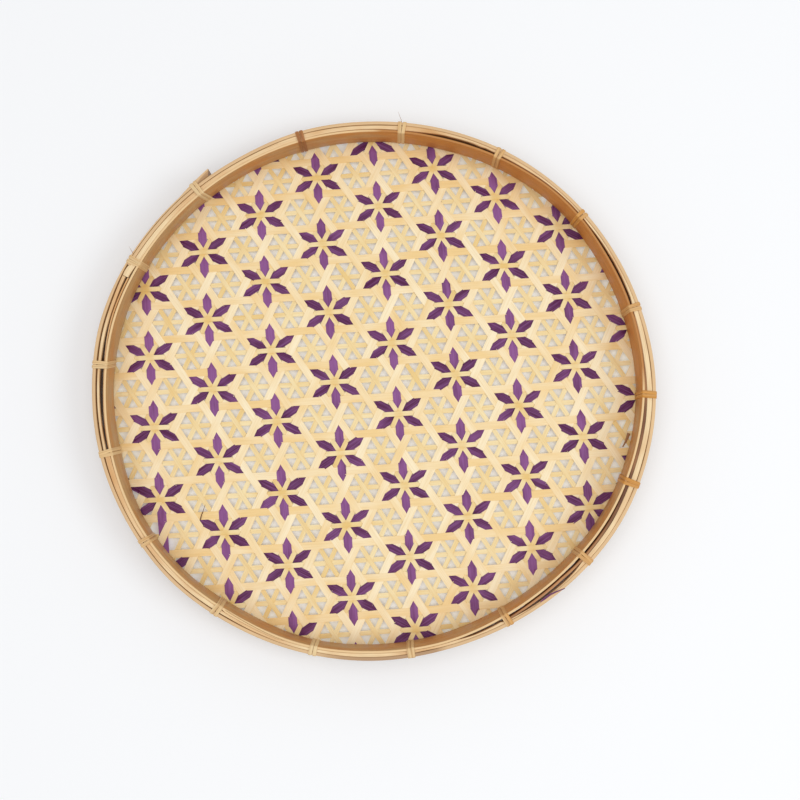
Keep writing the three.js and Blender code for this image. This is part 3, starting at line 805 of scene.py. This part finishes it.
def filler_piece(name, angles, edges, material, tones, fronts=((0, FILLER_FRONT),),
                 backs=((0, FILLER_BACK),)):
    """A splint in the channel, with its tone, front and back given by marks round the rim."""
    sections = []
    for angle in angles:
        inside, outside = edges(angle)
        front = marks_at(angle, fronts) + 0.12 * math.sin(angle / 5)
        sections.append(rounded_section(inside, max(outside, inside + THINNEST_FILLER),
                                        marks_at(angle, backs), front, FILLER_CORNER))
    return band_piece(name, angles, sections, material, lambda angle: marks_at(angle, tones))


def strand_edges(angle):
    inside = channel(angle)[0]
    return inside, inside + marks_at(angle, STRAND_WIDTH)


def wide_filler_edges(angle):
    inside, outside = channel(angle)
    if (angle - STRAND_START) % 360 < STRAND_END - STRAND_START:
        inside = strand_edges(angle)[1] + marks_at(angle, GAP_BESIDE_STRAND)
    return inside + 0.6 * float(ease(151, 155.6, angle % 360)) * (angle % 360 < 160), outside


wide_filler = filler_piece(
    "wide_filler", np.arange(WIDE_START, WIDE_END + 0.1, 1), wide_filler_edges, filler_bamboo,
    tones=((0, 0.15), (60, 0.45), (90, 0.45), (130, 0.15), (153, 0.05), (205, 0.6), (240, 0.35),
           (270, 0.25), (300, 0.35)),
    backs=((285, FILLER_BACK), (289, DEEP_BACK), (340, DEEP_BACK), (350, FILLER_BACK)))
brown_strand = filler_piece(
    "brown_strand", np.arange(STRAND_START, STRAND_END + 0.1, 1), strand_edges, brown_bamboo,
    tones=((298, 0.15), (314, 0.3), (322, 0.8), (345, 1.0), (352, 0.8), (0, 0.2), (66, 0.3)),
    fronts=((300, 25.5), (359, 25.6), (15, 25.5), (18, 21), (66, 21)),
    backs=((345, DEEP_BACK), (355, FILLER_BACK), (15, FILLER_BACK), (18, DEEP_BACK),
           (66, DEEP_BACK), (296, DEEP_BACK)))
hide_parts("filler_wide")
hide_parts("filler_brown_strand")

# %% Thin fillers on the left
LEFT_ANGLES = np.arange(155.6, 194.7, 1)


def inner_filler_edges(angle):
    inside = channel(angle)[0]
    return inside, inside + marks_at(angle, ((155, 1.1), (165, 1.0), (173, 0.8), (193, 0.7)))


def outer_filler_edges(angle):
    outside = channel(angle)[1]
    return outside - marks_at(angle, ((155, 2.0), (166, 1.9), (172, 1.7), (179, 1.3), (193, 1.5))), outside


inner_filler = filler_piece(
    "inner_filler", LEFT_ANGLES, inner_filler_edges, filler_bamboo,
    tones=((0, 0.85),), fronts=((170, 25.3), (178, 23.8), (193, 23.8)))
outer_filler = filler_piece(
    "outer_filler", LEFT_ANGLES, outer_filler_edges, filler_bamboo,
    tones=((0, 0.4),))
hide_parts("filler_thin_inner")
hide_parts("filler_thin_outer")

# %% [markdown]
# ## Lashings
#
# Seventeen lashings hold the rim. Each is a strip of split cane, wound twice round both bands and
# pulled tight, with its shiny bark outside. Cane is flat inside and slightly domed outside. The turns
# are swept round the bands' section, bent closely round their edges, and no two lie quite alike.

# %% Lashings of split cane
# Each has its angle, and how far it slants sideways, in mm, down the inside of the rim.
LASHINGS = ((17.1, 0.5), (40.2, 0.9), (62.4, 0.3), (84, 0.4), (105.9, 0), (131, -3.1), (151.8, -1.3),
            (175.6, -4.2), (194.9, -2.6), (215.6, -2.2), (236.3, -2.4), (257.8, -0.7), (277.9, 0.3),
            (298.9, 0.9), (319.8, 1.1), (338.5, 2.8), (358, 0.9))
CANE_TONES = ((0, 0.85), (20, 0.75), (62, 0.6), (84, 0.5), (130, 0.15), (260, 0.2), (300, 0.5),
              (338, 0.8))
DARK_LASHING = 5
CANE_WIDTH, CANE = 2.5, 0.5
LASH_GAP = 0.1
# Across the cane: sideways from -1 to 1, and how far it stands off the band, flat below and domed.
CANE_SECTION = ((-1, 0.0), (-1, 0.7), (-0.6, 0.95), (0, 1.0), (0.6, 0.95), (1, 0.7), (1, 0.0))


def lash_path(angle, corner=0.7, steps=4):
    """Points and outward directions round both bands, as (r, z, dr, dz)."""
    inside = float(around(INNER_FACE, angle)) - LASH_GAP
    lean = (float(around(INNER_FOOT, angle)) - LASH_GAP - inside) / (BANDS_FRONT - BANDS_BACK)
    outside = max(r for r, z in outer_band_section(angle if angle > OUTER_LAP else angle + 360)) \
        + LASH_GAP
    back, front = BANDS_BACK - 0.15, BANDS_FRONT + LASH_GAP
    path = []
    for r, z, start in ((outside, front, 0), (inside, front, 90), (inside, back, 180),
                        (outside, back, 270)):
        middle_r = r + (-corner if r == outside else corner)
        middle_z = z + (-corner if z == front else corner)
        for bend in np.radians(np.linspace(start, start + 90, steps)):
            place_z = middle_z + corner * math.sin(bend)
            place_r = middle_r + corner * math.cos(bend)
            if r == inside:
                place_r += lean * (front - place_z)
            path.append((place_r, place_z, math.cos(bend), math.sin(bend)))
    return path


def lashing(count, angle, slant):
    points, faces, grains = [], [], []
    material = dark_cane if count == DARK_LASHING else split_cane
    tone = marks_at(angle, CANE_TONES) + chance.uniform(-0.1, 0.1)
    spread = chance.uniform(0, 0.2)
    path = lash_path(angle)
    for turn in (-1, 1):
        width = CANE_WIDTH - chance.uniform(0.15, 0.35)
        tilt = chance.uniform(-0.08, 0.08)
        start, walk = sum(len(part) for part in points), 0.0
        rows = []
        for r, z, dr, dz in path:
            middle = turn * CANE_WIDTH / 2 + (tilt + turn * spread / 8) * (r - 168)
            middle += slant * (BANDS_FRONT - z) / (BANDS_FRONT - BANDS_BACK)
            row = []
            for side, lift in CANE_SECTION:
                place = math.radians(angle + math.degrees((middle + side * width / 2) / RIM_MIDDLE))
                reach = r + dr * lift * CANE
                row.append((reach * math.cos(place), reach * OVALNESS * math.sin(place),
                            z + dz * lift * CANE))
            rows.append(row)
            walk += 1.5
            grains += [(walk, side * width / 2, count / len(LASHINGS) + turn) for side, _ in CANE_SECTION]
        points.append(np.asarray(rows).reshape(-1, 3))
        faces += [[start + corner for corner in face]
                  for face in sweep_faces(len(path), len(CANE_SECTION), closed=True)]
    piece = make_piece(f"cane_lashing_{count}", np.concatenate(points), faces, material,
                       grains, [tone] * len(grains), sharp=50)
    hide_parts(f"lashing_{count}")


for count, (angle, slant) in enumerate(LASHINGS, 1):
    lashing(count, angle, slant)
print("lashings:", len(LASHINGS))

# %% [markdown]
# ## Stray fibres
#
# Hand work leaves traces: thin fibres that stand off the rim beside a lashing, a dark fibre and a brown
# splint on the mat, and a violet strip's end that was pulled out between the bands. Each is a thin
# tapering thread through a few points, which is enough for things this small.


# %% Threads and splints
def thread(name, places, width, thickness, material, tone):
    """A thin four-sided thread through (right, up, out) places, pointed at its far end."""
    places = np.asarray(places, dtype=float)
    points = []
    for count, place in enumerate(places):
        ahead = places[min(count + 1, len(places) - 1)] - places[max(count - 1, 0)]
        side = np.cross(ahead, (0, 0, 1))
        side = side / np.linalg.norm(side) * width / 2
        lift = np.array((0, 0, thickness / 2))
        taper = 1 - 0.7 * count / (len(places) - 1)
        points += [place + taper * side, place + lift, place - taper * side, place - lift]
    grain = [(1.5 * (i // 4), i % 4 * width / 3, len(name)) for i in range(len(points))]
    return make_piece(name, points, sweep_faces(len(places), 4), material, grain,
                      [tone] * len(points))


thread("fibre_at_top_lashing", [(17.8, 167.2, 25.9), (17.3, 169.3, 26.4), (16.3, 171.8, 26.7),
                                (15.6, 174.0, 26.6)], 0.3, 0.2, brown_bamboo, 0.5)
thread("fibre_at_left_lashing", [(-150.6, 82.6, 25.9), (-151.6, 84.4, 26.5), (-152.5, 86, 26.6),
                                 (-153.3, 87.3, 26.4)], 0.3, 0.2, brown_bamboo, 0.5)
thread("fibre_on_mat", [(-110.8, -84.2, 1.3), (-109.8, -80.6, 1.75), (-108.6, -77.2, 1.75),
                        (-107.8, -74.4, 1.5)], 0.7, 0.3, brown_bamboo, 1.0)
thread("splint_on_mat", [(163.3, -28.7, 1.3), (162.2, -31.6, 1.4), (160.8, -34.6, 1.45),
                         (159.1, -37.5, 1.3)], 2.2, 0.5, brown_bamboo, 0.4)
thread("violet_end", [(100.6, -135.0, 24.9), (104.2, -131.0, 25.9), (107.8, -128.2, 26.3),
                      (112.4, -126.2, 26.4), (117.0, -124.5, 26.2)], 1.4, 0.3, dyed_bamboo,
       0.9)

# %% [markdown]
# ## Wall and light
#
# The basket hangs on a white wall, so the backdrop is a plain wall. It stands 3 mm behind the mat,
# which was set for the shadow. It can only be seen from in front: from behind it is clear, and it
# takes no part in lighting the basket, so the back of the mat can be looked at too. Most of the light
# comes evenly from a white room. A large soft lamp beside the camera adds to it, and a smaller one on
# the right throws the photograph's faint shadow to the left.

# %% Wall
wall_paint = bpy.data.materials.new("white wall paint")
wall_paint.use_nodes = True
wall_shader = wall_paint.node_tree.nodes["Principled BSDF"]
wall_shader.inputs["Base Color"].default_value = linear("#fafbfc")
wall_shader.inputs["Roughness"].default_value = 0.9
wall_shader.inputs["Specular IOR Level"].default_value = 0.1
behind = add_node(wall_paint, "ShaderNodeNewGeometry").outputs["Backfacing"]
clear = add_node(wall_paint, "ShaderNodeBsdfTransparent").outputs[0]
one_sided = add_node(wall_paint, "ShaderNodeMixShader", {
    0: behind, 1: wall_shader.outputs[0], 2: clear,
}).outputs[0]
wall_paint.node_tree.links.new(one_sided, wall_paint.node_tree.nodes["Material Output"].inputs[0])

# In metres: how far the wall is behind the mat, and half its side.
WALL_PLACE, WALL_HALF = 0.003, 3
wall_mesh = bpy.data.meshes.new("wall")
wall_corners = [(side * WALL_HALF, WALL_PLACE, up * WALL_HALF)
                for side, up in ((-1, -1), (1, -1), (1, 1), (-1, 1))]
wall_mesh.from_pydata(wall_corners, [], [(0, 1, 2, 3)])
wall_mesh.materials.append(wall_paint)
wall = bpy.data.objects.new("wall", wall_mesh)
bpy.context.scene.collection.objects.link(wall)
wall.visible_diffuse = False
wall.visible_glossy = False
wall.visible_shadow = False

# %% Light
room = bpy.data.worlds.new("white room")
room.use_nodes = True
room.node_tree.nodes["Background"].inputs[0].default_value = linear("#fbfbfd")
room.node_tree.nodes["Background"].inputs[1].default_value = 0.6
bpy.context.scene.world = room
BASKET_MIDDLE = Vector((0, 0, -0.166))


def soft_lamp(name, place, size, energy, colour):
    """A round lamp, its size in metres and its energy in watts, turned to the basket's middle."""
    lamp_data = bpy.data.lights.new(name, "AREA")
    lamp_data.shape = "DISK"
    lamp_data.size = size
    lamp_data.energy = energy
    lamp_data.color = colour
    lamp = bpy.data.objects.new(name, lamp_data)
    bpy.context.scene.collection.objects.link(lamp)
    lamp.location = place
    lamp.rotation_euler = (BASKET_MIDDLE - lamp.location).to_track_quat("-Z", "Y").to_euler()


soft_lamp("lamp beside the camera", (-0.15, -2, -0.3), 2.2, 16, (1, 0.99, 0.98))
soft_lamp("lamp on the right", (1.35, -1.45, -0.45), 0.9, 7.2, (0.93, 0.98, 1))
bpy.context.scene.view_settings.view_transform = "Standard"
